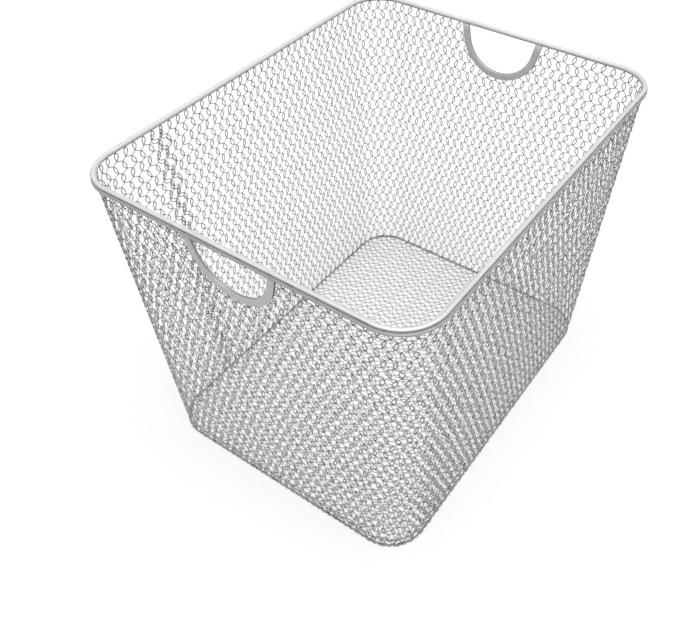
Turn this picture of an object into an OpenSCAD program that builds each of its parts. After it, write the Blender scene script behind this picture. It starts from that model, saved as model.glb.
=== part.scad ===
// Wire locker basket: a tapered netting tub with a rolled steel rim and two D-shaped hand holes.
// X runs along the short side, Y along the long side, Z up. The resting plane is z = 0, and the
// origin is the middle of the footprint.

/* [Overall size] */
// Outer width of the rim, along the short side
rim_w = 304.8; // [280:0.1:330]
// Outer length of the rim, along the long side
rim_l = 381; // [350:0.1:410]
// Height from the resting plane to the top of the rim
basket_h = 292.1; // [260:0.1:320]
// Outer corner radius of the rim
rim_corner_r = 36; // [32:0.5:42]
// Width across the walls at the resting plane
base_w = 262; // [250:1:276]
// Length across the walls at the resting plane
base_l = 342; // [326:1:352]
// Corner radius of the walls at the resting plane
base_corner_r = 33; // [28:0.5:38]

/* [Rim] */
// Radius of the rolled bead along the top of the rim
bead_r = 2.9; // [2.5:0.1:3.2]
// Height of the rim band from the bead's top to the skirt's lower edge
band_h = 7.8; // [7:0.1:9]
// How far the skirt's faces stand in from the bead's sides
skirt_step = 0.5; // [0.3:0.1:0.6]
// Thickness of the rim's sheet steel
band_sheet = 0.6; // [0.5:0.1:0.7]
// Diameter of the hoop wire inside the bead
hoop_wire_d = 1.9; // [1.5:0.1:2]

/* [Netting] */
// Thickness of the netting over its crossed wires
net_t = 1.4; // [1:0.1:1.5]
// Distance from the rim's outer face to the netting's outer face, at the skirt's lower edge
net_inset = 3.25; // [3.1:0.05:3.3]
// How far the netting's top edge goes up into the rim band
net_tuck = 5; // [3:0.5:5]
// Width of a strand between two cells
strand_w = 4; // [3:0.5:6]
// Cells across a short wall
short_cols = 6; // [4:1:6]
// Cells across a long wall
long_cols = 8; // [5:1:8]
// Cells round a corner
corner_cols = 2; // [1:1:2]
// Rows of cells up a wall
wall_rows = 8; // [5:1:8]
// Rows of cells along the floor
floor_rows = 9; // [6:1:9]

/* [Floor] */
// Outer radius of the bend where the floor turns up
bend_r = 5; // [3:0.5:7]
// Height of the floor's turned-up edge
flange_h = 8; // [7.5:0.5:14]
// Height at which the wall netting ends above the resting plane
wall_foot = 3; // [2:0.5:5]

/* [Hand holes] */
// Clear radius of a hand hole
hand_r = 36.5; // [28:0.5:40]
// Straight run of the hand hole's sides under the rim
hand_straight = 3; // [1:0.5:6]
// Width of the folded edge strip's face
trim_w = 6.4; // [5:0.1:8]
// Thickness of the edge strip's sheet
trim_sheet = 0.6; // [0.5:0.1:0.8]

/* [Seam] */
// Width of the wall netting's overlapped ends
seam_w = 12; // [10:0.5:16]
// Place of the seam along the left wall, from the middle, as a share of the wall's flat length
seam_share = 0.34; // [-0.4:0.01:0.4]

/* [Hidden] */

steel = "lightsteelblue";
net_steel = "silver";
trim_steel = "darkgray";

arc_fn = 72;
// Facets across a corner's cell
open_steps = 3;
// Flats round the rim's bead
bead_flats = 16;
// Flats round a small hidden or folded section
fold_flats = 8;
// Clearance between pieces that lie against each other
gap = 0.05;

// Wall netting at the skirt's lower edge
skirt_z = basket_h - band_h;
net_top_w = rim_w - 2 * net_inset;
net_top_l = rim_l - 2 * net_inset;
net_top_r = rim_corner_r - net_inset;

// Wall numbers are quarter turns from the front: front, right, rear, left
function wall_side(k) = k % 2 == 0 ? base_w : base_l;
function wall_top_side(k) = k % 2 == 0 ? net_top_w : net_top_l;
function wall_reach(k) = (k % 2 == 0 ? base_l : base_w) / 2;
function wall_top_reach(k) = (k % 2 == 0 ? net_top_l : net_top_w) / 2;
function wall_lean(k) = atan((wall_top_reach(k) - wall_reach(k)) / skirt_z);
function up_slope(k, z) = z / cos(wall_lean(k));

// Half the flat width of a wall at the distance v up its slope
function flat_half(k, v) =
    let (low = wall_side(k) / 2 - base_corner_r,
         high = wall_top_side(k) / 2 - net_top_r)
    low + (high - low) * v / up_slope(k, skirt_z);

// Height of the hand hole's centre
hand_z = skirt_z - hand_straight;
// Height where a short wall's netting is parted below its hand hole
part_z = hand_z - hand_r - trim_w - 1;
net_top_z = skirt_z + net_tuck;

// Outside of the floor's turned-up edge, which stands inside the wall netting
floor_inset = net_t + 0.2;
floor_w = base_w - 2 * floor_inset;
floor_l = base_l - 2 * floor_inset;
floor_r = base_corner_r - floor_inset;

// A disc of radius r whose edge is n flats, with a corner on each axis
module flats_disc(r, n) {
    polygon([for (i = [0 : n - 1]) r * [cos(360 * i / n), sin(360 * i / n)]]);
}

// Sweeps the child outline round a rounded rectangle, with x measured from the corner's centre
module around(w, l, r) {
    fx = w / 2 - r;
    fy = l / 2 - r;
    for (k = [0 : 3]) {
        corner = k % 2 == 0 ? [fx, fy] : [fy, fx];
        run = k % 2 == 0 ? 2 * fy : 2 * fx;
        rotate([0, 0, 90 * k]) {
            translate([corner.x, corner.y, 0]) rotate_extrude(angle = 90, $fn = arc_fn) children();
            translate([corner.x, corner.y, 0]) rotate([90, 0, 0]) linear_extrude(height = run) children();
        }
    }
}

// Stands a wall's drawing up: y climbs the slope, and z = 0 is the netting's outer face
module on_wall(k) {
    rotate([0, 0, 90 * k])
        translate([0, -wall_reach(k), 0])
            rotate([90 + wall_lean(k), 0, 0])
                children();
}

// One cell, pointed at top and bottom; share cuts it to its left (-1) or right (1) half
module cell(x, y, half_w, half_side, half_h, share = 0) {
    left = share > 0 ? 0 : -half_w;
    right = share < 0 ? 0 : half_w;
    left_y = share > 0 ? half_h : half_side;
    right_y = share < 0 ? half_h : half_side;
    tip = share == 0 ? [[x, y - half_h]] : [];
    top = share == 0 ? [[x, y + half_h]] : [];
    polygon(concat(
        [[x + left, y - left_y]], tip, [[x + right, y - right_y]],
        [[x + right, y + right_y]], top, [[x + left, y + left_y]]
    ));
}

// Staggered rows of cells between the heights y0 and y1, in a strip that widens from half0 to half1
module cells(cols, rows, y0, y1, half0, half1) {
    row_h = (y1 - y0) / rows;
    for (j = [0 : rows - 1]) {
        y = y0 + (j + 0.5) * row_h;
        half = half0 + (half1 - half0) * (j + 0.5) / rows;
        pitch = 2 * half / cols;
        half_w = (pitch - strand_w) / 2;
        half_h = row_h * 0.62 - strand_w * 0.45;
        half_side = row_h * 0.36 - strand_w * 0.25;
        odd = j % 2;
        for (i = [0 : cols - 1 - odd])
            cell(-half + (i + 0.5 + odd / 2) * pitch, y, half_w, half_side, half_h);
        if (odd == 1) {
            cell(-half + strand_w / 2, y, half_w - strand_w / 2, half_side, half_h, 1);
            cell(half - strand_w / 2, y, half_w - strand_w / 2, half_side, half_h, -1);
        }
    }
}

// The hand hole's outline in a wall's drawing: straight sides above a half circle
module hand_outline(k, r, top_z) {
    centre_v = up_slope(k, hand_z);
    translate([0, centre_v]) intersection() {
        circle(r = r, $fn = arc_fn);
        translate([-r - 1, -r - 1]) square([2 * r + 2, r + 1]);
    }
    translate([-r, centre_v - gap]) square([2 * r, up_slope(k, top_z) - centre_v + gap]);
}

// A flat wall's netting between the heights z0 and z1, with its part of the cells and the hand hole
module wall_net(k, cols, z0, z1, hand = false) {
    v0 = up_slope(k, z0);
    v1 = up_slope(k, z1);
    row_v0 = up_slope(k, wall_foot) + strand_w;
    row_v1 = up_slope(k, skirt_z) - strand_w;
    edge = strand_w / 2;
    on_wall(k) translate([0, 0, -net_t]) linear_extrude(height = net_t) difference() {
        polygon([
            [-flat_half(k, v0) + gap, v0], [flat_half(k, v0) - gap, v0],
            [flat_half(k, v1) - gap, v1], [-flat_half(k, v1) + gap, v1]
        ]);
        difference() {
            cells(cols, wall_rows, row_v0, row_v1, flat_half(k, row_v0) - edge, flat_half(k, row_v1) - edge);
            if (hand) hand_outline(k, hand_r + trim_w, skirt_z);
        }
        if (hand) hand_outline(k, hand_r + trim_sheet + gap, basket_h);
    }
}

// The netting of a short wall below its hand hole
module short_wall_net(k) {
    color(net_steel) wall_net(k, short_cols, wall_foot, part_z);
}

// The netting of a short wall round its hand hole
module hand_net(k) {
    color(net_steel) wall_net(k, short_cols, part_z, net_top_z, hand = true);
}

// The netting of a long wall
module long_wall_net(k) {
    color(net_steel) wall_net(k, long_cols, wall_foot, net_top_z);
}

// A quarter of the tub's corner, from the wall's foot to its tucked top edge, with a grid of openings
module corner_net(sx, sy) {
    steps = corner_cols * (open_steps + 1) + 1;
    row_z = wall_foot + strand_w;
    row_h = (skirt_z - strand_w - row_z) / wall_rows;
    levels = concat(
        [wall_foot],
        [for (j = [0 : wall_rows - 1]) each [row_z + j * row_h + strand_w / 2, row_z + (j + 1) * row_h - strand_w / 2]],
        [net_top_z]
    );
    bands = len(levels) - 1;
    n = steps + 1;
    inside = n * len(levels);

    function mix(a, b, z) = a + (b - a) * z / skirt_z;
    function ring(z, inward) = [
        for (i = [0 : steps])
            let (r = mix(base_corner_r, net_top_r, z),
                 cx = mix(base_w, net_top_w, z) / 2 - r,
                 cy = mix(base_l, net_top_l, z) / 2 - r,
                 a = 90 * i / steps)
            [sx * (cx + (r - inward) * cos(a)), sy * (cy + (r - inward) * sin(a)), z]
    ];
    // Whether the sheet is solid in the band b and the step i
    function solid(b, i) =
        b >= 0 && b < bands && i >= 0 && i < steps && (b % 2 == 0 || i % (open_steps + 1) == 0);
    function quad(a, b, c, d) = sx * sy < 0 ? [[a, c, b], [a, d, c]] : [[a, b, c], [a, c, d]];

    faces = [
        for (b = [0 : bands - 1], i = [0 : steps - 1])
            if (solid(b, i))
                let (p = b * n + i, q = p + n, r = q + 1, s = p + 1, m = inside)
                each concat(
                    quad(p, q, r, s),
                    quad(p + m, s + m, r + m, q + m),
                    solid(b - 1, i) ? [] : quad(p, s, s + m, p + m),
                    solid(b + 1, i) ? [] : quad(r, q, q + m, r + m),
                    solid(b, i - 1) ? [] : quad(q, p, p + m, q + m),
                    solid(b, i + 1) ? [] : quad(s, r, r + m, s + m)
                )
    ];
    polyhedron(
        points = concat([for (z = levels) each ring(z, 0)], [for (z = levels) each ring(z, net_t)]),
        faces = faces
    );
}

// The floor's flat netting, up to where its edge starts to bend
module floor_net() {
    flat_w = floor_w - 2 * bend_r - 2 * gap;
    flat_l = floor_l - 2 * bend_r - 2 * gap;
    flat_r = floor_r - bend_r - gap;
    border = 2 * strand_w;
    half = flat_w / 2 - border;
    color(net_steel) linear_extrude(height = net_t) difference() {
        union() {
            square([flat_w, flat_l - 2 * flat_r], center = true);
            square([flat_w - 2 * flat_r, flat_l], center = true);
            for (sx = [-1, 1], sy = [-1, 1])
                translate([sx * (flat_w / 2 - flat_r), sy * (flat_l / 2 - flat_r)])
                    circle(r = flat_r, $fn = arc_fn);
        }
        cells(short_cols, floor_rows, border - flat_l / 2, flat_l / 2 - border, half, half);
    }
}

// The floor netting's edge, bent up inside the foot of the wall netting
module floor_edge_net() {
    color(net_steel) around(floor_w, floor_l, floor_r) union() {
        translate([floor_r - bend_r, bend_r]) intersection() {
            difference() {
                flats_disc(bend_r, fold_flats);
                flats_disc(bend_r - net_t, fold_flats);
            }
            translate([0, -bend_r]) square(bend_r);
        }
        translate([floor_r - net_t, bend_r]) square([net_t, flange_h - bend_r]);
    }
}

// Rolled sheet band: a bead over a flat skirt, open below, where the netting goes in
module rim_band() {
    bead_x = rim_corner_r - bead_r;
    bead_z = basket_h - bead_r;
    skirt_w = 2 * bead_r - 2 * skirt_step;
    color(steel) around(rim_w, rim_l, rim_corner_r) difference() {
        union() {
            translate([bead_x, bead_z]) flats_disc(bead_r, bead_flats);
            translate([bead_x - skirt_w / 2, skirt_z]) square([skirt_w, bead_z - skirt_z]);
        }
        translate([bead_x, bead_z]) flats_disc(bead_r - band_sheet, fold_flats);
        translate([bead_x - skirt_w / 2 + band_sheet, skirt_z - 1])
            square([skirt_w - 2 * band_sheet, bead_z - skirt_z + 1]);
    }
}

// Stiffening wire that lies in the outer side of the bead
module rim_hoop_wire() {
    wire_x = rim_corner_r - band_sheet - 0.2 - hoop_wire_d / 2;
    color(trim_steel) around(rim_w, rim_l, rim_corner_r)
        translate([wire_x, basket_h - bead_r]) flats_disc(hoop_wire_d / 2, fold_flats);
}

// Strip folded over the netting's edge round a hand hole
module handle_trim(k) {
    end_z = skirt_z - gap;
    back = net_t + gap + trim_sheet;
    color(trim_steel) on_wall(k) difference() {
        translate([0, 0, -back]) linear_extrude(height = back + gap + trim_sheet) difference() {
            hand_outline(k, hand_r + trim_w, end_z);
            hand_outline(k, hand_r, end_z + 1);
        }
        translate([0, 0, -net_t - gap]) linear_extrude(height = net_t + 2 * gap) difference() {
            hand_outline(k, hand_r + trim_w + 1, end_z + 1);
            hand_outline(k, hand_r + trim_sheet, end_z + 2);
        }
    }
}

// The wall strip's second end, lapped over the left wall's outside
module seam_net() {
    k = 3;
    v0 = up_slope(k, wall_foot);
    v1 = up_slope(k, skirt_z - gap);
    x0 = seam_share * 2 * flat_half(k, v0);
    x1 = seam_share * 2 * flat_half(k, v1);
    slant = (x1 - x0) / (v1 - v0);
    half = seam_w / 2;
    color(net_steel) on_wall(k) translate([0, 0, gap]) linear_extrude(height = net_t) polygon([
        [x0 - half, v0], [x0 + half, v0],
        [x0 + half + slant * (v1 - v0), v1], [x0 - half + slant * (v1 - v0), v1]
    ]);
}

rim_band();
rim_hoop_wire();
short_wall_net(0);  // front_wall_net
short_wall_net(2);  // rear_wall_net
long_wall_net(3);  // left_wall_net
long_wall_net(1);  // right_wall_net
hand_net(0);  // front_hand_net
hand_net(2);  // rear_hand_net
color(net_steel) corner_net(-1, -1);  // front_left_corner_net
color(net_steel) corner_net(1, -1);  // front_right_corner_net
color(net_steel) corner_net(-1, 1);  // rear_left_corner_net
color(net_steel) corner_net(1, 1);  // rear_right_corner_net
seam_net();
floor_net();
floor_edge_net();
handle_trim(0);  // front_handle_trim
handle_trim(2);  // rear_handle_trim
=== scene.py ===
"""Wire locker basket: a tapered netting tub with a rolled steel rim and two D-shaped hand holes.

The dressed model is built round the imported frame. +X runs along the short side, +Y along the long
side, +Z up. Sizes are in millimetres and meshes in metres, on the frame's own places.
"""

import logging
import math
from dataclasses import dataclass, field
from enum import Enum

import bpy
import numpy as np
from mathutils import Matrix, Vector


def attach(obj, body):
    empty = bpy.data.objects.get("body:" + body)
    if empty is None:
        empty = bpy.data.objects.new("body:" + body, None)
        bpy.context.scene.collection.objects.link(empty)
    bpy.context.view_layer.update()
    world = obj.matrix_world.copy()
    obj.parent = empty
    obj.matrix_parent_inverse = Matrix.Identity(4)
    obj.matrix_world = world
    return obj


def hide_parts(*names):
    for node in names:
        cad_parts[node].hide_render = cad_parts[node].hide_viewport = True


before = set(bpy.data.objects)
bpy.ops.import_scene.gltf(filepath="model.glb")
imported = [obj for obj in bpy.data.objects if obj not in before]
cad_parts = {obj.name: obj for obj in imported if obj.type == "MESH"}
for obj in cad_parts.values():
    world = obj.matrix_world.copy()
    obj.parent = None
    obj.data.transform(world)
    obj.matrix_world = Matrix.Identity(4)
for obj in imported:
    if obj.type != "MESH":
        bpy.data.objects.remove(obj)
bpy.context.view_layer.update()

LOG = logging.getLogger("locker_basket")
MM = 0.001
BODY = "root"


class ShortWall(Enum):
    """A short side of the tub, numbered in quarter turns from the front."""

    FRONT = 0
    REAR = 2


class Slot(Enum):
    """The record's material slots."""

    RIM = "rim_steel"
    NET = "net_steel"
    TRIM = "trim_steel"


# Shader groups


class NodeTree:
    """Short calls to build a node tree."""

    def __init__(self, tree: bpy.types.NodeTree) -> None:
        """Holds the tree that nodes are added to."""
        self.tree = tree

    def add(self, kind: str, **settings: object) -> bpy.types.Node:
        """Adds a node and sets its properties.

        Args:
            kind: The node's type, without the "ShaderNode" in front.
            settings: Property names and values.

        Returns:
            The node.
        """
        prefix = "" if kind.startswith("NodeGroup") else "ShaderNode"
        node = self.tree.nodes.new(prefix + kind)
        for name, value in settings.items():
            setattr(node, name, value)
        return node

    def put(self, socket: bpy.types.NodeSocket, value: object) -> None:
        """Links another node's output to an input, or sets the input's value."""
        if isinstance(value, bpy.types.NodeSocket):
            self.tree.links.new(value, socket)
        else:
            socket.default_value = value

    def feed(self, node: bpy.types.Node, **inputs: object) -> bpy.types.Node:
        """Sets or links a node's inputs by name, with spaces written as underscores.

        Args:
            node: The node to feed.
            inputs: A number, a tuple or another node's output socket for each input.

        Returns:
            The same node.
        """
        for name, value in inputs.items():
            self.put(node.inputs[name.replace("_", " ")], value)
        return node

    def maths(self, operation: str, first: object, second: object) -> bpy.types.NodeSocket:
        """Adds a Math node and returns its output."""
        node = self.add("Math", operation=operation)
        for socket, value in zip(node.inputs, (first, second)):
            self.put(socket, value)
        return node.outputs[0]

    def blend(self, share: object, first: object, second: object) -> bpy.types.NodeSocket:
        """Adds a colour mix and returns its output."""
        node = self.add("Mix", data_type="RGBA")
        for number, value in ((0, share), (6, first), (7, second)):
            self.put(node.inputs[number], value)
        return node.outputs[2]

    def mix_shaders(
        self, share: bpy.types.NodeSocket, first: bpy.types.Node, second: bpy.types.Node
    ) -> bpy.types.NodeSocket:
        """Adds a shader mix and returns its output."""
        node = self.add("MixShader")
        for socket, value in zip(node.inputs, (share, first.outputs[0], second.outputs[0])):
            self.put(socket, value)
        return node.outputs[0]

    def remap(self, value: object, low: float, high: float) -> bpy.types.NodeSocket:
        """Adds a clamped Map Range from low and high to 0 and 1, and returns its output."""
        node = self.feed(self.add("MapRange"), Value=value, From_Min=low, From_Max=high)
        return node.outputs["Result"]


class EffectGroup:
    """A shader node group that more than one finish uses, with its inputs and outputs declared."""

    name = ""
    inputs: dict[str, tuple[str, object]] = {}
    outputs: dict[str, str] = {}

    def __init__(self) -> None:
        """Makes the group's tree and its sockets, and fills it."""
        self.tree = bpy.data.node_groups.new(self.name, "ShaderNodeTree")
        for label, (kind, value) in self.inputs.items():
            socket = self.tree.interface.new_socket(label, in_out="INPUT", socket_type=kind)
            if value is not None:
                socket.default_value = value
        for label, kind in self.outputs.items():
            self.tree.interface.new_socket(label, in_out="OUTPUT", socket_type=kind)
        nodes = NodeTree(self.tree)
        self.fill(nodes, nodes.add("NodeGroupInput").outputs, nodes.add("NodeGroupOutput"))

    def fill(self, nodes: NodeTree, given: object, result: bpy.types.Node) -> None:
        """Builds the effect between the group's inputs and outputs."""
        raise NotImplementedError

    def use(self, nodes: NodeTree, **inputs: object) -> bpy.types.Node:
        """Places the group in a material.

        Args:
            nodes: The material's tree.
            inputs: Values or sockets for the group's inputs.

        Returns:
            The group's node.
        """
        node = nodes.add("Group", node_tree=self.tree)
        return nodes.feed(node, **inputs)


class ZincBloom(EffectGroup):
    """Cloudy lights and darks of a dull zinc coat, with fine grain over them."""

    name = "zinc_bloom"
    inputs = {
        "Light": ("NodeSocketColor", (0.6, 0.6, 0.6, 1)),
        "Dark": ("NodeSocketColor", (0.4, 0.4, 0.4, 1)),
        "Cloud Scale": ("NodeSocketFloat", 60.0),
        "Grain Scale": ("NodeSocketFloat", 2600.0),
        "Smooth": ("NodeSocketFloat", 0.3),
        "Rough": ("NodeSocketFloat", 0.45),
    }
    outputs = {"Color": "NodeSocketColor", "Roughness": "NodeSocketFloat", "Height": "NodeSocketFloat"}
    cloud_share = 0.7

    def fill(self, nodes: NodeTree, given: object, result: bpy.types.Node) -> None:
        """Mixes two noises into a colour, a roughness and a height."""
        place = nodes.add("TexCoord").outputs["Object"]
        cloud = nodes.feed(nodes.add("TexNoise"), Vector=place, Scale=given["Cloud Scale"], Detail=3.0)
        grain = nodes.feed(nodes.add("TexNoise"), Vector=place, Scale=given["Grain Scale"], Detail=2.0)
        soft = nodes.remap(cloud.outputs["Fac"], 0.32, 0.68)
        fine = nodes.remap(grain.outputs["Fac"], 0.3, 0.7)
        clouds = nodes.maths("MULTIPLY", soft, self.cloud_share)
        both = nodes.maths("ADD", clouds, nodes.maths("MULTIPLY", fine, 1 - self.cloud_share))
        colour = nodes.blend(both, given["Dark"], given["Light"])
        spread = nodes.maths("SUBTRACT", given["Rough"], given["Smooth"])
        rough = nodes.maths("ADD", given["Smooth"], nodes.maths("MULTIPLY", both, spread))
        nodes.feed(result, Color=colour, Roughness=rough, Height=fine)


class DrawnLines(EffectGroup):
    """Fine lines that rolling and drawing leave along a strip or wire."""

    name = "drawn_lines"
    inputs = {
        "Density": ("NodeSocketFloat", 4000.0),
        "Run Scale": ("NodeSocketFloat", 18.0),
    }
    outputs = {"Line": "NodeSocketFloat"}

    def fill(self, nodes: NodeTree, given: object, result: bpy.types.Node) -> None:
        """Stretches a noise along the strip: fast across its girth, slow along its run."""
        girth = nodes.add("Attribute", attribute_name="girth").outputs["Fac"]
        place = nodes.add("TexCoord").outputs["Object"]
        slow = nodes.add("VectorMath", operation="SCALE")
        nodes.feed(slow, Vector=place, Scale=given["Run Scale"])
        across = nodes.feed(nodes.add("CombineXYZ"), X=nodes.maths("MULTIPLY", girth, given["Density"]))
        both = nodes.add("VectorMath", operation="ADD")
        nodes.put(both.inputs[0], slow.outputs[0])
        nodes.put(both.inputs[1], across.outputs[0])
        noise = nodes.feed(nodes.add("TexNoise"), Vector=both.outputs[0], Scale=1.0, Detail=2.0)
        nodes.feed(result, Line=nodes.remap(noise.outputs["Fac"], 0.35, 0.65))


class MarkedPlaces(EffectGroup):
    """The places that the mesh marks with painted shade, and on the rim with a painted dark reflection,
    such as grooves, bends and crossings, broken up by a noise.
    """

    name = "marked_places"
    inputs = {
        "Break Up": ("NodeSocketFloat", 140.0),
        "Cover": ("NodeSocketFloat", 0.3),
    }
    outputs = {"Mask": "NodeSocketFloat"}

    def fill(self, nodes: NodeTree, given: object, result: bpy.types.Node) -> None:
        """Multiplies the mesh's marks by a noise that never falls below the cover."""
        edge = nodes.add("Attribute", attribute_name="edge").outputs["Fac"]
        place = nodes.add("TexCoord").outputs["Object"]
        noise = nodes.feed(nodes.add("TexNoise"), Vector=place, Scale=given["Break Up"], Detail=4.0)
        broken = nodes.remap(noise.outputs["Fac"], 0.38, 0.6)
        share = nodes.maths("MAXIMUM", broken, given["Cover"])
        nodes.feed(result, Mask=nodes.maths("MULTIPLY", edge, share))


@dataclass(frozen=True)
class Effects:
    """The shared groups, built once."""

    bloom: ZincBloom = field(default_factory=ZincBloom)
    lines: DrawnLines = field(default_factory=DrawnLines)
    marks: MarkedPlaces = field(default_factory=MarkedPlaces)


@dataclass(frozen=True)
class SteelFinish:
    """A zinc-bright steel finish: a cloudy coat, drawn lines and marked places darkened with painted shade,
    and on the rim with a painted dark reflection.
    """

    name: str
    light: tuple[float, float, float]
    dark: tuple[float, float, float]
    # The colour of the painted shade at the mesh's marks; on the rim it also paints a dark reflection.
    edge: tuple[float, float, float]
    metallic: float
    smooth: float
    rough: float
    cloud_scale: float
    line_density: float
    bump: float
    cover: float
    line_tint: float = 0.22
    line_height: float = 0.6
    bump_distance: float = 0.0001

    def material(self, effects: Effects) -> bpy.types.Material:
        """Builds the finish.

        Args:
            effects: The shared shader groups.

        Returns:
            A new material.
        """
        made = bpy.data.materials.new(self.name)
        made.use_nodes = True
        nodes = NodeTree(made.node_tree)
        shader = made.node_tree.nodes["Principled BSDF"]
        bloom = effects.bloom.use(
            nodes, Light=(*self.light, 1), Dark=(*self.dark, 1), Cloud_Scale=self.cloud_scale,
            Smooth=self.smooth, Rough=self.rough,
        )
        lines = effects.lines.use(nodes, Density=self.line_density).outputs["Line"]
        marked = effects.marks.use(nodes, Cover=self.cover).outputs["Mask"]
        tint = nodes.maths("MULTIPLY", lines, self.line_tint)
        lined = nodes.blend(tint, bloom.outputs["Color"], (*self.dark, 1))
        # Painted shade: the mesh's marks blend the colour towards the edge colour.
        colour = nodes.blend(marked, lined, (*self.edge, 1))
        raised = nodes.maths("MULTIPLY", lines, self.line_height)
        height = nodes.maths("ADD", raised, bloom.outputs["Height"])
        bump = nodes.feed(nodes.add("Bump"), Height=height, Strength=self.bump, Distance=self.bump_distance)
        nodes.feed(
            shader, Base_Color=colour, Roughness=bloom.outputs["Roughness"], Metallic=self.metallic,
            Normal=bump.outputs["Normal"],
        )
        return made


# edge here paints shade on the netting's lens arcs, darkest at the crossings, so the links read lighter.
WIRE_FINISH = SteelFinish(
    name="zinc_wire",
    light=(0.76, 0.762, 0.766), dark=(0.6, 0.602, 0.606), edge=(0.05, 0.05, 0.052),
    metallic=0.25, smooth=0.34, rough=0.48, cloud_scale=90.0, line_density=9000.0, bump=0.25, cover=0.6,
)
# Painted light: the floor netting is the walls' steel drawn lighter, as lit from above, and its edge colour
# is a lighter painted shade for its lens arcs and bent-up edge.
FLOOR_TOP_LIT_FINISH = SteelFinish(
    name="floor_wire_painted_top_lit",
    light=(0.81, 0.815, 0.815), dark=(0.72, 0.725, 0.725), edge=(0.34, 0.342, 0.344),
    metallic=0.1, smooth=0.28, rough=0.4, cloud_scale=70.0, line_density=9000.0, bump=0.2, cover=0.7,
)
# edge here paints a dark line of reflection and shade along the bead's outer face, and shade on the curl
# and under the bead.
RIM_FINISH = SteelFinish(
    name="rolled_rim_steel",
    light=(0.8, 0.81, 0.825), dark=(0.69, 0.7, 0.715), edge=(0.1, 0.102, 0.107),
    metallic=0.25, smooth=0.36, rough=0.48, cloud_scale=36.0, line_density=5200.0, bump=0.12, cover=0.85,
)
# edge here paints shade on the fold face that meets the hand hole.
STRIP_FINISH = SteelFinish(
    name="folded_strip_steel",
    light=(0.68, 0.682, 0.684), dark=(0.57, 0.572, 0.574), edge=(0.3, 0.302, 0.304),
    metallic=0.45, smooth=0.34, rough=0.48, cloud_scale=60.0, line_density=4200.0, bump=0.15, cover=0.9,
)


# Meshes


class MeshDraft:
    """Collects points and faces, with the point values that the finishes read, and makes one mesh."""

    def __init__(self) -> None:
        """Starts empty."""
        self.points: list[np.ndarray] = []
        self.girth: list[np.ndarray] = []
        self.edge: list[np.ndarray] = []
        self.corners: list[np.ndarray] = []
        self.sizes: list[np.ndarray] = []
        self.count = 0

    def add(
        self, points: np.ndarray, girth: np.ndarray, edge: np.ndarray, faces: list[np.ndarray]
    ) -> None:
        """Adds a part of the mesh.

        Args:
            points: Places in metres, n by 3.
            girth: The way round the section at each point, in metres.
            edge: How strongly each point is marked with painted shade, 0 to 1; on the rim it also marks a
                painted dark reflection.
            faces: Arrays of faces, each with one number of corners, counted within points.
        """
        self.points.append(points)
        self.girth.append(girth)
        self.edge.append(edge)
        for group in faces:
            self.corners.append((group + self.count).ravel())
            self.sizes.append(np.full(len(group), group.shape[1]))
        self.count += len(points)

    def build(self, name: str, material: bpy.types.Material) -> bpy.types.Object:
        """Makes a smooth-shaded object in the scene.

        Args:
            name: The piece's name.
            material: Its finish.

        Returns:
            The object, at the origin.
        """
        points = np.concatenate(self.points).astype(np.float32)
        corners = np.concatenate(self.corners).astype(np.int32)
        sizes = np.concatenate(self.sizes)
        mesh = bpy.data.meshes.new(name)
        mesh.vertices.add(len(points))
        mesh.vertices.foreach_set("co", points.ravel())
        mesh.loops.add(len(corners))
        mesh.loops.foreach_set("vertex_index", corners)
        mesh.polygons.add(len(sizes))
        starts = np.concatenate([[0], np.cumsum(sizes)[:-1]]).astype(np.int32)
        mesh.polygons.foreach_set("loop_start", starts)
        mesh.update(calc_edges=True)
        for label, values in (("girth", self.girth), ("edge", self.edge)):
            layer = mesh.attributes.new(label, "FLOAT", "POINT")
            layer.data.foreach_set("value", np.concatenate(values).astype(np.float32))
        mesh.validate()
        mesh.shade_smooth()
        mesh.materials.append(material)
        piece = bpy.data.objects.new(name, mesh)
        bpy.context.scene.collection.objects.link(piece)
        return piece


def unit(vectors: np.ndarray) -> np.ndarray:
    """Scales vectors to length one."""
    return vectors / np.linalg.norm(vectors, axis=-1, keepdims=True)


def skin(rings: int, sides: int, closed: bool) -> list[np.ndarray]:
    """Joins rings of points with faces.

    Args:
        rings: How many rings there are.
        sides: Points in each ring.
        closed: Whether the last ring joins the first; otherwise both ends are capped.

    Returns:
        The walls, and the caps if there are any.
    """
    first = np.arange(rings if closed else rings - 1)[:, None]
    start = first * sides
    ahead = (first + 1) % rings * sides - start
    here = start + np.arange(sides)
    beside = start + (np.arange(sides) + 1) % sides
    walls = np.stack([here, beside, beside + ahead, here + ahead], -1).reshape(-1, 4)
    if closed:
        return [walls]
    return [walls, np.stack([np.arange(sides)[::-1], (rings - 1) * sides + np.arange(sides)])]


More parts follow.
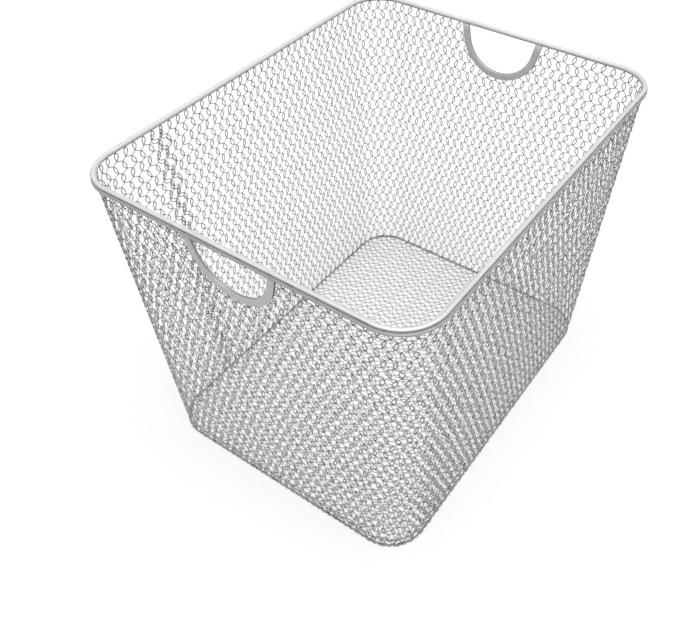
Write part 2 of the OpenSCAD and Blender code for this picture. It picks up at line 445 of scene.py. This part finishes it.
@dataclass(frozen=True)
class Wire:
    """A round wire: its diameter in millimetres and its flats round the girth."""

    diameter: float
    sides: int = 5

    def add(
        self, draft: MeshDraft, path: np.ndarray, outward: np.ndarray, edge: np.ndarray, closed: bool
    ) -> None:
        """Adds a tube along a path.

        Args:
            draft: The mesh that takes it.
            path: Centre points in millimetres, n by 3.
            outward: A direction across the path at each point.
            edge: A mark for each ring's points.
            closed: Whether the last ring joins the first.
        """
        path = path * MM
        radius = self.diameter / 2 * MM
        step = np.roll(path, -1, 0) - np.roll(path, 1, 0) if closed else np.gradient(path, axis=0)
        ahead = unit(step)
        across = unit(np.cross(ahead, outward))
        up = np.cross(across, ahead)
        turn = 2 * np.pi * np.arange(self.sides) / self.sides
        ring = np.cos(turn)[None, :, None] * up[:, None] + np.sin(turn)[None, :, None] * across[:, None]
        points = (path[:, None] + radius * ring).reshape(-1, 3)
        draft.add(
            points, np.tile(turn * radius, len(path)), np.repeat(edge, self.sides),
            skin(len(path), self.sides, closed),
        )

    def add_kept(
        self, draft: MeshDraft, paths: np.ndarray, outward: np.ndarray, edge: np.ndarray, keep: np.ndarray
    ) -> None:
        """Adds the kept stretches of several wires.

        Args:
            draft: The mesh that takes them.
            paths: Centre points in millimetres, wires by points by 3.
            outward: A direction across each wire at each point.
            edge: A mark for each point.
            keep: Whether each point is kept.
        """
        for wire, kept in enumerate(keep):
            ends = np.flatnonzero(np.diff(np.concatenate([[0], kept.astype(int), [0]])))
            for a, b in zip(ends[::2], ends[1::2]):
                if b - a > 2:
                    self.add(draft, paths[wire, a:b], outward[wire, a:b], edge[wire, a:b], False)


def filleted(corners: list[tuple[float, float, float]], steps: int) -> np.ndarray:
    """Rounds the corners of a closed outline.

    Args:
        corners: For each corner its x, y and fillet radius.
        steps: Parts of each rounded corner.

    Returns:
        The outline's points, n by 2.
    """
    spots = np.array([corner[:2] for corner in corners], float)
    made = []
    for number, (_, _, radius) in enumerate(corners):
        here = spots[number]
        back = unit(spots[number - 1] - here)
        on = unit(spots[(number + 1) % len(spots)] - here)
        half = math.acos(max(-1.0, min(1.0, float(back @ on)))) / 2
        middle = here + unit(back + on) * radius / math.sin(half)
        start = here + back * radius / math.tan(half) - middle
        end = here + on * radius / math.tan(half) - middle
        sweep = math.atan2(start[0] * end[1] - start[1] * end[0], float(start @ end))
        for step in range(steps + 1):
            angle = sweep * step / steps
            turn = np.array([[math.cos(angle), -math.sin(angle)], [math.sin(angle), math.cos(angle)]])
            made.append(middle + turn @ start)
    return np.array(made)


def add_sweep(
    draft: MeshDraft, stations: np.ndarray, outline: np.ndarray, edge: np.ndarray, closed: bool
) -> None:
    """Joins copies of a section along its stations.

    Args:
        draft: The mesh that takes it.
        stations: The section's points at each station, in millimetres, n by m by 3.
        outline: The flat section in millimetres, m by 2.
        edge: The section's marks.
        closed: Whether the last station joins the first.
    """
    runs, sides = stations.shape[:2]
    lengths = np.linalg.norm(np.roll(outline, -1, 0) - outline, axis=1)
    girth = np.concatenate([[0], np.cumsum(lengths)[:-1]]) * MM
    points = (stations * MM).reshape(-1, 3)
    draft.add(points, np.tile(girth, runs), np.tile(edge, runs), skin(runs, sides, closed))


def register(piece: bpy.types.Object, slot: Slot, *nodes: str) -> None:
    """Lets a piece ride on the basket's body and stand for its nodes.

    Args:
        piece: The finished piece.
        slot: The record's material slot; not used.
        nodes: The nodes it replaces.
    """
    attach(piece, BODY)
    if nodes:
        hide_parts(*nodes)
    stands_for = ", ".join(nodes) or "no node"
    LOG.info("%s: %d faces, stands for %s", piece.name, len(piece.data.polygons), stands_for)


# The tub's form


@dataclass(frozen=True)
class TubForm:
    """The tapered surface that the wall netting's outer face lies on, measured in netting columns."""

    base_w: float = 262.0
    base_l: float = 342.0
    base_r: float = 33.0
    top_w: float = 299.3
    top_l: float = 375.5
    top_r: float = 33.25
    skirt_z: float = 284.3
    short_columns: int = 25
    long_columns: int = 33
    corner_columns: int = 6
    slope_step: float = 0.05

    def limits(self) -> np.ndarray:
        """Gives the column number at which each flat and each corner starts."""
        widths = [self.short_columns, self.corner_columns, self.long_columns, self.corner_columns] * 2
        return np.concatenate([[0], np.cumsum(widths)])

    def outline(self, width: float, length: float, radius: float, columns: np.ndarray) -> np.ndarray:
        """Finds places on one level of the tub.

        Args:
            width: Size across, along X.
            length: Size along Y.
            radius: Corner radius.
            columns: Column numbers, counted from the front wall's left end.

        Returns:
            Places in millimetres, x and y.
        """
        limits = self.limits()
        columns = columns % limits[-1]
        part = np.clip(np.searchsorted(limits, columns, side="right") - 1, 0, 7)
        share = (columns - limits[part]) / (limits[part + 1] - limits[part])
        wall = part // 2
        even = wall % 2 == 0
        flat = np.where(even, width, length) / 2 - radius
        reach = np.where(even, length, width) / 2
        angle = (share - 1) * np.pi / 2
        corner = part % 2 == 1
        along = np.where(corner, flat + radius * np.cos(angle), (2 * share - 1) * flat)
        out = np.where(corner, -(reach - radius) + radius * np.sin(angle), -reach)
        turn = wall * np.pi / 2
        c, s = np.round(np.cos(turn)), np.round(np.sin(turn))
        return np.stack([along * c - out * s, along * s + out * c], -1)

    def place(self, columns: np.ndarray, heights: np.ndarray) -> np.ndarray:
        """Finds places on the surface in millimetres from column numbers and heights."""
        low = self.outline(self.base_w, self.base_l, self.base_r, columns)
        high = self.outline(self.top_w, self.top_l, self.top_r, columns)
        share = (heights / self.skirt_z)[..., None]
        return np.concatenate([low * (1 - share) + high * share, heights[..., None]], -1)

    def outward(self, columns: np.ndarray, heights: np.ndarray) -> np.ndarray:
        """Finds the directions that stand off the surface, away from the inside."""
        step = self.slope_step
        along = self.place(columns + step, heights) - self.place(columns - step, heights)
        climb = self.place(columns, heights + 1) - self.place(columns, heights)
        return unit(np.cross(along, climb))


@dataclass(frozen=True)
class TwistPattern:
    """Hexagonal netting whose every twist is one open turn: two wires cross, part and cross again.

    Places are in columns and rows, so one lens stands in each column of each row, half a column
    further in every second row. Each lens strays a little in place, lean and width.
    """

    height: float = 0.735
    bulge: float = 0.185
    tilt: float = 0.09
    slack: float = 1.1
    stray_place: float = 0.018
    stray_lean: float = 0.022
    stray_bulge: float = 0.1
    # lens_mark and link_mark are painted shade: every lens is darkened by lens_mark and more towards its
    # crossings, every link only by link_mark.
    lens_mark: float = 0.55
    link_mark: float = 0.1
    lens_points: int = 6
    link_points: tuple[float, ...] = (1 / 3, 2 / 3)
    link_fall: tuple[float, ...] = (0.26, 0.74)
    wires: int = 280
    seed: int = 11

    def trace(self, wires: np.ndarray, rows: int) -> tuple[np.ndarray, np.ndarray, np.ndarray, np.ndarray]:
        """Follows wires up through the rows.

        Args:
            wires: Wire numbers.
            rows: How many rows they climb.

        Returns:
            Column numbers, row numbers, lifts from -1 to 1 and crossing marks, each wires by points.
        """
        chance = np.random.default_rng(self.seed)
        loose = chance.normal(0.0, 1.0, (4, self.wires, rows)).clip(-2, 2)
        row = np.arange(rows)
        side = np.where((wires[:, None] + row) % 2 == 0, -1.0, 1.0)
        lens = np.rint(0.5 + wires[:, None] + 0.5 * side).astype(int)
        wobble = loose[:, lens % self.wires, row]
        turn = np.where(row % 2 == 0, 1.0, -1.0)
        middle = lens / 2 + self.stray_place * wobble[0]
        lean = self.tilt * turn + self.stray_lean * wobble[1]
        bulge = side * self.bulge * (1 + self.stray_bulge * wobble[2])
        level = row + 0.5 + self.stray_place * wobble[3]

        way = np.linspace(0, 1, self.lens_points)
        u = middle[..., None] + lean[..., None] * (2 * way - 1) + bulge[..., None] * 4 * way * (1 - way)
        v = level[..., None] + self.height * (way - 0.5)
        hand = (side * turn)[..., None]
        lift = hand * np.cos(np.pi * way)
        # Painted shade along the lens, strongest at its two crossings.
        mark = self.lens_mark + (1 - self.lens_mark) * np.abs(2 * way - 1) ** 4 + 0 * u

        start = np.stack([u[..., -1], v[..., -1]], -1)[:, :-1]
        end = np.stack([u[..., 0], v[..., 0]], -1)[:, 1:]
        reach = np.linalg.norm(end - start, axis=-1, keepdims=True) * self.slack
        leave = unit(np.stack([2 * lean - 4 * bulge, self.height + 0 * lean], -1))[:, :-1] * reach
        meet = unit(np.stack([2 * lean + 4 * bulge, self.height + 0 * lean], -1))[:, 1:] * reach
        joins = []
        for q in self.link_points:
            joins.append(
                (2 * q**3 - 3 * q**2 + 1) * start + (q**3 - 2 * q**2 + q) * leave
                + (3 * q**2 - 2 * q**3) * end + (q**3 - q**2) * meet
            )
        between = np.stack(joins, 2)
        fall = np.array(self.link_fall)
        slope = lift[:, :-1, -1:] * (1 - fall) + lift[:, 1:, :1] * fall
        low = np.full_like(slope, self.link_mark)

        def woven(lenses: np.ndarray, links: np.ndarray) -> np.ndarray:
            """Puts lens points and the link points after them into one line a wire."""
            body = np.concatenate([lenses[:, :-1], links], 2).reshape(len(wires), -1)
            return np.concatenate([body, lenses[:, -1]], 1)

        return (
            woven(u, between[..., 0]), woven(v, between[..., 1]), woven(lift, slope), woven(mark, low)
        )


@dataclass(frozen=True)
class HandHole:
    """The hole under the rim in each short wall: a round bottom, and sides that go up at a slant."""

    radius: float = 33.1
    flare: float = math.radians(13)
    height: float = 282.1

    def reach(self, across: np.ndarray, up: np.ndarray) -> np.ndarray:
        """Measures points from the middle of the round, so that the hole's edge lies at the radius."""
        side = np.abs(across) * math.cos(self.flare) - up * math.sin(self.flare)
        return np.where(up > -np.abs(across) * math.tan(self.flare), side, np.hypot(across, up))


@dataclass
class WallNetting:
    """The wall strip's wires, from the foot to inside the rim, as one piece a flat or corner."""

    tub: TubForm
    hole: HandHole
    pattern: TwistPattern
    material: bpy.types.Material
    wire: Wire = Wire(0.8)
    rows: int = 29
    foot_z: float = 2.3
    cut_z: float = 1.2
    top_z: float = 288.6
    net_t: float = 1.4
    lift: float = 0.4
    hole_margin: float = 2.9

    def level(self, rows: np.ndarray) -> np.ndarray:
        """Turns row numbers into heights; the first row lies below the foot, but for its top ends."""
        return self.foot_z + (rows - 1) * (self.top_z - self.foot_z) / self.rows

    def in_hand_hole(self, points: np.ndarray) -> np.ndarray:
        """Tells which points in millimetres lie in the opening of a short wall."""
        reach = self.hole.reach(points[..., 0], points[..., 2] - self.hole.height)
        return reach < self.hole.radius + self.hole_margin

    def piece(self, name: str, first: int, count: int, hand: bool) -> bpy.types.Object:
        """Builds the wires of one flat or corner.

        Args:
            name: The piece's name.
            first: Its first wire.
            count: How many wires it has.
            hand: Whether a hand hole is cut out.

        Returns:
            The object.
        """
        wires = np.arange(first, first + count)
        u, v, lift, mark = self.pattern.trace(wires, self.rows + 1)
        z = self.level(v)
        out = self.tub.outward(u, z)
        points = self.tub.place(u, z) + out * (lift * self.lift - self.net_t / 2)[..., None]
        keep = z > self.cut_z
        if hand:
            keep &= ~self.in_hand_hole(points)
        draft = MeshDraft()
        self.wire.add_kept(draft, points, out, mark, keep)
        return draft.build(name, self.material)

    def build(self) -> None:
        """Builds the four flats and four corners in order round the tub."""
        parts = (
            ("front_netting", True, ("front_wall_net", "front_hand_net")),
            ("front_right_netting", False, ("front_right_corner_net",)),
            ("right_netting", False, ("right_wall_net",)),
            ("rear_right_netting", False, ("rear_right_corner_net",)),
            ("rear_netting", True, ("rear_wall_net", "rear_hand_net")),
            ("rear_left_netting", False, ("rear_left_corner_net",)),
            ("left_netting", False, ("left_wall_net",)),
            ("front_left_netting", False, ("front_left_corner_net",)),
        )
        starts = 2 * self.tub.limits()
        for (name, hand, nodes), first, last in zip(parts, starts, starts[1:]):
            register(self.piece(name, first, last - first, hand), Slot.NET, *nodes)


@dataclass
class SeamNetting:
    """The wall strip's second end, lapped over the outside of the left wall near the front."""

    walls: WallNetting
    column: float = 128.72
    drop: float = 0.42
    stand_off: float = 0.75
    low_z: float = 3.0
    high_z: float = 284.0
    wires: tuple[int, ...] = (256, 257, 258)

    def build(self) -> None:
        """Builds the lapped wires."""
        walls = self.walls
        numbers = np.array(self.wires)
        u, v, lift, mark = walls.pattern.trace(numbers, walls.rows + 1)
        u = u + self.column - (0.25 + 0.5 * numbers.mean())
        z = walls.level(v - self.drop)
        out = walls.tub.outward(u, z)
        points = walls.tub.place(u, z) + out * (lift * walls.lift + self.stand_off)[..., None]
        draft = MeshDraft()
        walls.wire.add_kept(draft, points, out, mark, (z > self.low_z) & (z < self.high_z))
        register(draft.build("seam_netting", walls.material), Slot.NET, "seam_net")


@dataclass
class EdgeCord:
    """The walls' wires twisted together into a cord round the foot."""

    walls: WallNetting
    height: float = 1.6
    inset: float = 0.75
    strands: int = 4
    twist_r: float = 1.02
    twist_columns: float = 1.5
    swell: float = 0.45
    phase: float = 2.1
    least_mark: float = 0.45
    rings_per_column: int = 12

    def build(self) -> None:
        """Builds the cord; inset is how far its middle lies inside the walls' outer face."""
        walls = self.walls
        total = walls.tub.limits()[-1]
        count = int(total * self.rings_per_column)
        u = np.arange(count) * total / count
        z = np.full(count, self.height)
        out = walls.tub.outward(u, z)
        middle = walls.tub.place(u, z) - out * self.inset
        draft = MeshDraft()
        for strand in range(self.strands):
            turn = 2 * np.pi * (u / self.twist_columns + strand / self.strands)
            phase = self.phase * strand
            reach = self.twist_r * (1 + self.swell * np.sin(4 * np.pi * u + phase) - self.swell / 2)
            rise = np.array([0.0, 0.0, 1.0]) * np.sin(turn)[:, None]
            path = middle + reach[:, None] * (out * np.cos(turn)[:, None] + rise)
            # Painted shade along the cord, in spots half a column apart and never below least_mark.
            mark = self.least_mark + (1 - self.least_mark) * np.sin(2 * np.pi * u + phase) ** 2
            walls.wire.add(draft, path, out, mark, True)
        register(draft.build("foot_selvedge", walls.material), Slot.NET)


@dataclass
class FloorNetting:
    """The floor's sheet of netting, its edge bent up inside the walls' foot."""

    pattern: TwistPattern
    material: bpy.types.Material
    width: float = 258.8
    length: float = 338.8
    corner_r: float = 31.4
    bend_r: float = 5.0
    edge_h: float = 5.6
    wire: Wire = Wire(1.25)
    lift: float = 0.36
    column_w: float = 7.4
    row_h: float = 11.4
    spare_columns: int = 5
    spare_rows: int = 4
    # From mark_from beyond the bend, over mark_way, the bent-up edge is painted with shade where the walls
    # shade it.
    mark_from: float = -8.4
    mark_way: float = 6.0

    def tray(self, flat: np.ndarray, lift: np.ndarray) -> tuple[np.ndarray, np.ndarray, np.ndarray]:
        """Bends the flat sheet up at its edge.

        Args:
            flat: Places on the sheet before it is bent, x and y in millimetres.
            lift: How far each point stands out of the sheet's middle, downward on the flat.

        Returns:
            Places, outward directions, and the distance beyond the bend.
        """
        core = self.wire.diameter / 2 + self.lift
        bend = self.bend_r - core
        half = np.array([self.width, self.length]) / 2 - self.bend_r
        radius = self.corner_r - self.bend_r
        q = np.abs(flat) - (half - radius)
        past = np.maximum(q, 0)
        far = np.linalg.norm(past, axis=-1)
        beyond = far + np.minimum(q.max(-1), 0) - radius
        way = np.where(far[..., None] > 0, past / np.maximum(far, 1e-9)[..., None], 0) * np.sign(flat)
        over = np.maximum(beyond, 0)
        angle = np.minimum(over / bend, np.pi / 2)
        rise = np.maximum(over - bend * np.pi / 2, 0)
        foot = flat - way * over[..., None]
        reach = bend * np.sin(angle)
        height = self.bend_r - bend * np.cos(angle) + rise
        out = np.concatenate([way * np.sin(angle)[..., None], -np.cos(angle)[..., None]], -1)
        points = np.concatenate([foot + way * reach[..., None], height[..., None]], -1)
        return points + out * lift[..., None], out, beyond - bend * np.pi / 2

    def build(self) -> None:
        """Builds the sheet's wires and cuts them at its edge."""
        columns = int(self.length / self.column_w) + self.spare_columns
        rows = int(self.width / self.row_h) + self.spare_rows
        u, v, lift, mark = self.pattern.trace(np.arange(2 * columns), rows)
        flat = np.stack([(v - rows / 2) * self.row_h, (u - columns / 2) * self.column_w], -1)
        points, out, beyond = self.tray(flat, lift * self.lift)
        # Painted shade on the bent-up edge next to the walls.
        mark = np.maximum(mark, np.clip((beyond - self.mark_from) / self.mark_way, 0, 1))
        draft = MeshDraft()
        self.wire.add_kept(draft, points, out, mark, beyond < self.edge_h - self.bend_r)
        register(draft.build("floor_netting", self.material), Slot.NET, "floor_net", "floor_edge_net")


@dataclass
class RimStrip:
    """The rolled sheet band over the netting's top edge: a round bead over a small curl outside."""

    material: bpy.types.Material
    width: float = 304.8
    length: float = 381.0
    corner_r: float = 36.0
    top_z: float = 292.1
    bead_r: float = 2.3
    bead_x: float = 2.6
    curl_r: float = 0.9
    band_h: float = 5.5
    sheet: float = 0.5
    end_angle: float = -42.0
    end_bulge: float = 5.0
    # Where the painted dark line of reflection and shade lies on the bead, and how strong the painted shade
    # is on the curl and on the bead's inner lower face.
    line_angle: float = 158.0
    line_spread: float = 20.0
    low_mark: float = 0.6
    inner_mark: float = 0.75
    curl_points: int = 26
    outer_points: int = 44
    inner_points: int = 30
    corner_steps: int = 28
    flat_steps: int = 10

    def arc(self, middle: np.ndarray, radius: float, start: float, end: float, steps: int) -> np.ndarray:
        """Gives points of an arc between two angles in degrees."""
        angle = np.radians(np.linspace(start, end, steps))
        return np.stack([np.cos(angle), np.sin(angle)], -1) * radius + middle

    def section(self) -> np.ndarray:
        """Draws the band's section: x goes in from the outer face, y is the height."""
        bead = np.array([self.bead_x, self.top_z - self.bead_r])
        curl = np.array([self.curl_r, self.top_z - self.band_h + self.curl_r])
        apart = math.dist(bead, curl)
        aim = math.degrees(math.atan2(bead[1] - curl[1], bead[0] - curl[0]))
        along = (apart**2 + self.bead_r**2 - self.curl_r**2) / (2 * apart)
        bead_half = math.degrees(math.acos(along / self.bead_r))
        curl_half = math.degrees(math.acos((apart - along) / self.curl_r))
        outer, inner = aim + 179 - bead_half, aim + 178 + bead_half
        end, tip = self.end_angle, self.end_angle - self.end_bulge
        return np.concatenate([
            self.arc(curl, self.curl_r, aim - curl_half, aim + curl_half - 360, self.curl_points),
            self.arc(bead, self.bead_r, outer, end, self.outer_points),
            self.arc(bead, self.bead_r - self.sheet / 2, tip, tip, 1),
            self.arc(bead, self.bead_r - self.sheet, end, inner, self.inner_points),
        ])

    def painted_dark_lines(self, outline: np.ndarray) -> np.ndarray:
        """Paints a dark line of reflection and shade along the bead's outer face, and painted shade on the
        curl below it and on the bead's inner lower face.
        """
        deep = self.top_z - outline[:, 1]
        angle = np.degrees(np.arctan2(self.bead_r - deep, outline[:, 0] - self.bead_x)) % 360
        line = np.exp(-(((angle - self.line_angle) / self.line_spread) ** 2))
        line = line * (deep < 0.55 * self.band_h)
        low = self.low_mark * np.clip((deep / self.band_h - 0.66) / 0.06, 0, 1)
        inner = self.inner_mark * np.clip((deep / self.bead_r - 1) / 0.35, 0, 1)
        return np.where(outline[:, 0] < self.bead_x, np.maximum(line, low), inner)

    def build(self) -> None:
        """Sweeps the section round the rim."""
        outline = self.section()
        stations = []
        for quarter in range(4):
            even = quarter % 2 == 0
            flat = (self.width if even else self.length) / 2 - self.corner_r
            deep = (self.length if even else self.width) / 2 - self.corner_r
            right = math.pi / 2
            spots = [(-flat + 2 * flat * i / self.flat_steps, -right) for i in range(self.flat_steps)]
            spots += [(flat, -right + right * i / self.corner_steps) for i in range(self.corner_steps)]
            turn = quarter * math.pi / 2
            c, s = round(math.cos(turn)), round(math.sin(turn))
            for along, angle in spots:
                reach = self.corner_r - outline[:, 0]
                x = along + reach * math.cos(angle)
                y = -deep + reach * math.sin(angle)
                stations.append(np.stack([x * c - y * s, x * s + y * c, outline[:, 1]], -1))
        draft = MeshDraft()
        add_sweep(draft, np.array(stations), outline, self.painted_dark_lines(outline), True)
        register(draft.build("rim_strip", self.material), Slot.RIM, "rim_band")


@dataclass
class HandStrip:
    """A strip folded over the netting's edge round a hand hole, along the slanted wall's outer face."""

    wall: ShortWall
    hole: HandHole
    material: bpy.types.Material
    face_w: float = 6.4
    sheet: float = 0.6
    net_t: float = 1.4
    gap: float = 0.05
    end_z: float = 289.1
    base_reach: float = 171.0
    top_reach: float = 187.75
    skirt_z: float = 284.3
    edge_r: float = 0.22
    fold_r: float = 0.95
    inner_r: float = 0.4
    fold_steps: int = 4
    facing_w: float = 0.25
    bends: int = 72

    def section(self) -> np.ndarray:
        """Draws the folded section: x goes away from the hole's middle, y stands off the wall."""
        near, far, t = self.hole.radius, self.hole.radius + self.face_w, self.sheet
        front = self.gap + t
        back = -(self.net_t + self.gap + t)
        edge, fold, inner = self.edge_r, self.fold_r, self.inner_r
        corners = [
            (far, front, edge), (near, front, fold), (near, back, fold), (far, back, edge),
            (far, back + t, edge), (near + t, back + t, inner),
            (near + t, front - t, inner), (far, front - t, edge),
        ]
        return filleted(corners, self.fold_steps)

    def build(self) -> None:
        """Sweeps the fold down one slanted side, round the bottom and up the other."""
        outline = self.section()
        lean = math.atan((self.top_reach - self.base_reach) / self.skirt_z)
        middle = self.hole.height / math.cos(lean)
        sweep = math.pi - 2 * self.hole.flare
        angles = [-sweep / 2 + sweep * i / self.bends for i in range(self.bends + 1)]
        out, fall = math.cos(self.hole.flare), math.sin(self.hole.flare)
        climb = (self.end_z / math.cos(lean) - middle + outline[:, 0] * fall) / out
        first, last = angles[0], angles[-1]
        spots = [(angle, 0 * climb) for angle in angles]
        spots = [(first, climb), (first, climb / 2), *spots, (last, climb / 2), (last, climb)]
        turn = self.wall.value * math.pi / 2
        c, s = round(math.cos(turn)), round(math.sin(turn))
        stations = []
        for angle, rise in spots:
            x = outline[:, 0] * math.sin(angle) + math.copysign(fall, angle) * rise
            level = middle - outline[:, 0] * math.cos(angle) + out * rise
            off = outline[:, 1]
            y = -self.base_reach - level * math.sin(lean) - off * math.cos(lean)
            z = level * math.cos(lean) - off * math.sin(lean)
            stations.append(np.stack([x * c - y * s, x * s + y * c, z], -1))
        draft = MeshDraft()
        # Painted shade on the fold face that meets the hand hole.
        facing = (outline[:, 0] < self.hole.radius + self.facing_w).astype(float)
        add_sweep(draft, np.array(stations), outline, facing, False)
        side = self.wall.name.lower()
        register(draft.build(f"{side}_hand_strip", self.material), Slot.TRIM, f"{side}_handle_trim")


@dataclass
class Studio:
    """A plain pale floor, a white surround and soft light from above."""

    ambient: float = 0.22
    key_strength: float = 2.55
    key_spread: float = 55.0
    key_from: tuple[float, float, float] = (0.2, -0.14, 1.0)
    floor_size: float = 12.0
    floor_z: float = -0.0002
    floor_white: float = 0.97
    floor_bounce: float = 0.38
    floor_lift: float = 0.64
    floor_glow: float = 1.06

    def surround(self) -> None:
        """Makes a world that lights softly and shows plain white."""
        world = bpy.data.worlds.new("white_surround")
        world.use_nodes = True
        world.node_tree.nodes.clear()
        nodes = NodeTree(world.node_tree)
        path = nodes.add("LightPath")
        seen = nodes.maths(
            "MAXIMUM", nodes.maths("MAXIMUM", path.outputs["Is Camera Ray"], path.outputs["Is Glossy Ray"]),
            path.outputs["Is Transmission Ray"],
        )
        light = nodes.feed(nodes.add("Background"), Color=(1, 1, 1, 1), Strength=self.ambient)
        white = nodes.feed(nodes.add("Background"), Color=(1, 1, 1, 1), Strength=1.0)
        nodes.feed(nodes.add("OutputWorld"), Surface=nodes.mix_shaders(seen, light, white))
        bpy.context.scene.world = world

    def floor(self) -> None:
        """Lays the floor, which shows white and keeps the basket's shadow."""
        half = self.floor_size / 2
        mesh = bpy.data.meshes.new("studio_floor")
        spots = [(half * x, half * y, self.floor_z) for x, y in ((-1, -1), (1, -1), (1, 1), (-1, 1))]
        mesh.from_pydata(spots, [], [(0, 1, 2, 3)])
        made = bpy.data.materials.new("studio_white")
        made.use_nodes = True
        nodes = NodeTree(made.node_tree)
        nodes.tree.nodes.clear()
        path = nodes.add("LightPath")
        seen = nodes.maths("MAXIMUM", path.outputs["Is Camera Ray"], path.outputs["Is Glossy Ray"])
        tone = nodes.blend(seen, (*[self.floor_bounce] * 3, 1), (*[self.floor_white] * 3, 1))
        matt = nodes.feed(nodes.add("BsdfDiffuse"), Color=tone)
        glow = nodes.feed(nodes.add("Emission"), Color=(1, 1, 1, 1), Strength=self.floor_glow)
        share = nodes.maths("MULTIPLY", seen, self.floor_lift)
        nodes.feed(nodes.add("OutputMaterial"), Surface=nodes.mix_shaders(share, matt, glow))
        mesh.materials.append(made)
        ground = bpy.data.objects.new("studio_floor", mesh)
        bpy.context.scene.collection.objects.link(ground)

    def key(self) -> None:
        """Adds the soft overhead light."""
        light = bpy.data.lights.new("overhead_light", "SUN")
        light.energy = self.key_strength
        light.angle = math.radians(self.key_spread)
        lamp = bpy.data.objects.new("overhead_light", light)
        lamp.rotation_euler = (-Vector(self.key_from)).to_track_quat("-Z", "Y").to_euler()
        bpy.context.scene.collection.objects.link(lamp)

    def build(self) -> None:
        """Sets up the surround, the floor and the light."""
        self.surround()
        self.floor()
        self.key()


@dataclass
class PhotoCamera:
    """The camera at the photograph's angle, distance and crop."""

    azimuth: float = 34.58
    elevation: float = 41.69
    distance: float = 770.5
    aim_z: float = 146.05
    focal_px: float = 849.96
    centre_px: tuple[float, float] = (387.9, 257.94)
    frame_px: tuple[int, int] = (679, 635)
    sensor: float = 36.0
    clip_end_m: float = 50.0

    def build(self) -> None:
        """Makes the scene's camera."""
        data = bpy.data.cameras.new("photo_camera")
        wide, high = self.frame_px
        data.sensor_fit = "HORIZONTAL"
        data.sensor_width = self.sensor
        data.lens = self.focal_px * self.sensor / wide
        data.shift_x = (wide / 2 - self.centre_px[0]) / wide
        data.shift_y = (self.centre_px[1] - high / 2) / wide
        data.clip_end = self.clip_end_m
        turn, rise = math.radians(self.azimuth), math.radians(self.elevation)
        back = Vector((math.sin(turn) * math.cos(rise), -math.cos(turn) * math.cos(rise), math.sin(rise)))
        camera = bpy.data.objects.new("photo_camera", data)
        camera.location = Vector((0, 0, self.aim_z)) * MM + back * self.distance * MM
        camera.rotation_euler = (-back).to_track_quat("-Z", "Y").to_euler()
        bpy.context.scene.collection.objects.link(camera)
        bpy.context.scene.camera = camera


def main() -> None:
    """Builds the basket, its studio and its camera."""
    logging.basicConfig(level=logging.INFO, format="%(name)s: %(message)s")
    bpy.context.scene.view_settings.view_transform = "Standard"
    PhotoCamera().build()
    Studio().build()

    effects = Effects()
    wire = WIRE_FINISH.material(effects)
    rim = RIM_FINISH.material(effects)
    strip = STRIP_FINISH.material(effects)
    hole = HandHole()
    walls = WallNetting(TubForm(), hole, TwistPattern(), wire)
    walls.build()
    SeamNetting(walls).build()
    EdgeCord(walls).build()
    FloorNetting(
        TwistPattern(height=0.54, bulge=0.29, slack=1.2, lens_mark=0.24, link_mark=0.09, seed=23),
        FLOOR_TOP_LIT_FINISH.material(effects),
    ).build()
    RimStrip(rim).build()
    for wall in ShortWall:
        HandStrip(wall, hole, strip).build()
    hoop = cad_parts["rim_hoop_wire"]
    hoop.data.materials.clear()
    hoop.data.materials.append(wire)
    LOG.info("rim_hoop_wire keeps its own solid, inside the rim strip")


if __name__ == "__main__":
    main()
